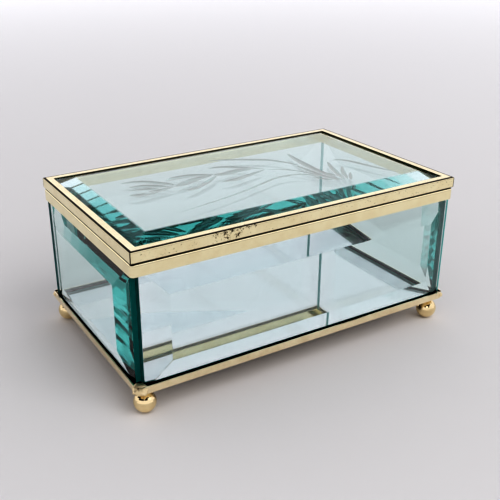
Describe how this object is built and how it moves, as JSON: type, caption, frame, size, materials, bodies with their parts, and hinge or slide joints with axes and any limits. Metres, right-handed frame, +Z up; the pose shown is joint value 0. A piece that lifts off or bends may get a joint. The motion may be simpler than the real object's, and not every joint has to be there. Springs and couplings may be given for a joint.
{
  "type": "glass casket box",
  "caption": "Rectangular keepsake casket of bevelled glass in gilt brass channel, with a mirrored floor, ball feet and a hinged glass lid.",
  "frame": {"origin": "on the ground, under the middle of the closed box's bounding box", "axes": "+X to the right along the front, +Y to the hinged back, +Z up"},
  "size_m": [0.1544, 0.0982, 0.0703],
  "materials": {
    "gilt_brass": "polished gilt brass, lightly tarnished",
    "base_brass": "polished brass, warmer and darker",
    "foot_brass": "turned and polished brass",
    "hinge_brass": "satin brass",
    "bevelled_glass": "clear plate glass with a green edge, bevels polished",
    "mirror_glass": "polished plate glass over silver",
    "mirror_backing": "silvering with matt grey protective paint"
  },
  "bodies": {
    "case": {"base_frame": "base_brass", "floor_mirror": "mirror_glass", "mirror_backing": "mirror_backing", "front_pane": "bevelled_glass", "back_pane": "bevelled_glass", "left_pane": "bevelled_glass", "right_pane": "bevelled_glass", "rim_frame": "gilt_brass", "foot_front_left": "foot_brass", "foot_front_right": "foot_brass", "foot_back_left": "foot_brass", "foot_back_right": "foot_brass", "hinge_left_case_leaf": "hinge_brass", "hinge_left_pin": "hinge_brass", "hinge_right_case_leaf": "hinge_brass", "hinge_right_pin": "hinge_brass"},
    "lid": {"lid_frame_front": "gilt_brass", "lid_frame_back": "gilt_brass", "lid_frame_left": "gilt_brass", "lid_frame_right": "gilt_brass", "lid_pane": "bevelled_glass", "hinge_left_lid_leaf": "hinge_brass", "hinge_right_lid_leaf": "hinge_brass"}
  },
  "joints": [
    {"name": "lid_hinge", "type": "hinge", "parent": "case", "child": "lid", "pos_m": [0, 0.04677, 0.06377], "axis": [-1, 0, 0], "range_deg": [0, 105]}
  ]
}
